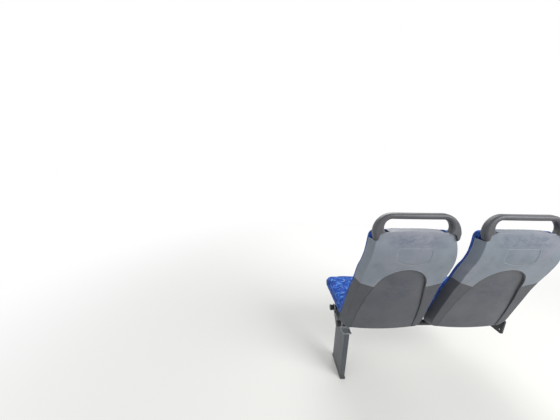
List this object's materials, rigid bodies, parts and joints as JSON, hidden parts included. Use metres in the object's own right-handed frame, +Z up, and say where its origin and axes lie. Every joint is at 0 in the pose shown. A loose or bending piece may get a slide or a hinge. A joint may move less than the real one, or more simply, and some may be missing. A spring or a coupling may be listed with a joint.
{
  "type": "city bus double passenger seat",
  "caption": "Double passenger seat for a city bus: moulded back covers with knee panels and grab handles, padded cushions, steel underframe with floor leg and wall bracket.",
  "frame": {"origin": "middle of the two bolt holes in the foot plate, on the floor", "axes": "+X from the aisle to the window, +Y the way the passengers face, +Z up"},
  "size_m": [0.9216, 0.5465, 0.983],
  "materials": {
    "light_cover": "textured",
    "dark_cover": "textured",
    "board": "matt",
    "moquette": "woven pile",
    "handle": "fine grain",
    "pan": "matt",
    "frame_steel": "powder coat",
    "cap": "matt",
    "leg_paint": "powder coat",
    "zinc": "zinc plated"
  },
  "bodies": {
    "root": {"aisle_back_upper_cover": "light_cover", "aisle_back_lower_cover": "dark_cover", "aisle_knee_panel": "dark_cover", "aisle_back_board": "board", "aisle_back_pad": "moquette", "aisle_grab_handle": "handle", "aisle_seat_pan": "pan", "aisle_seat_pad": "moquette", "aisle_pan_rails": "frame_steel", "aisle_back_uprights": "frame_steel", "window_back_upper_cover": "light_cover", "window_back_lower_cover": "dark_cover", "window_knee_panel": "dark_cover", "window_back_board": "board", "window_back_pad": "moquette", "window_grab_handle": "handle", "window_seat_pan": "pan", "window_seat_pad": "moquette", "window_pan_rails": "frame_steel", "window_back_uprights": "frame_steel", "rear_crossbar": "frame_steel", "front_crossbar": "frame_steel", "crossbar_caps": "cap", "pedestal_leg": "leg_paint", "leg_saddle": "zinc", "foot_plate": "leg_paint", "wall_bracket": "frame_steel"}
  },
  "joints": []
}
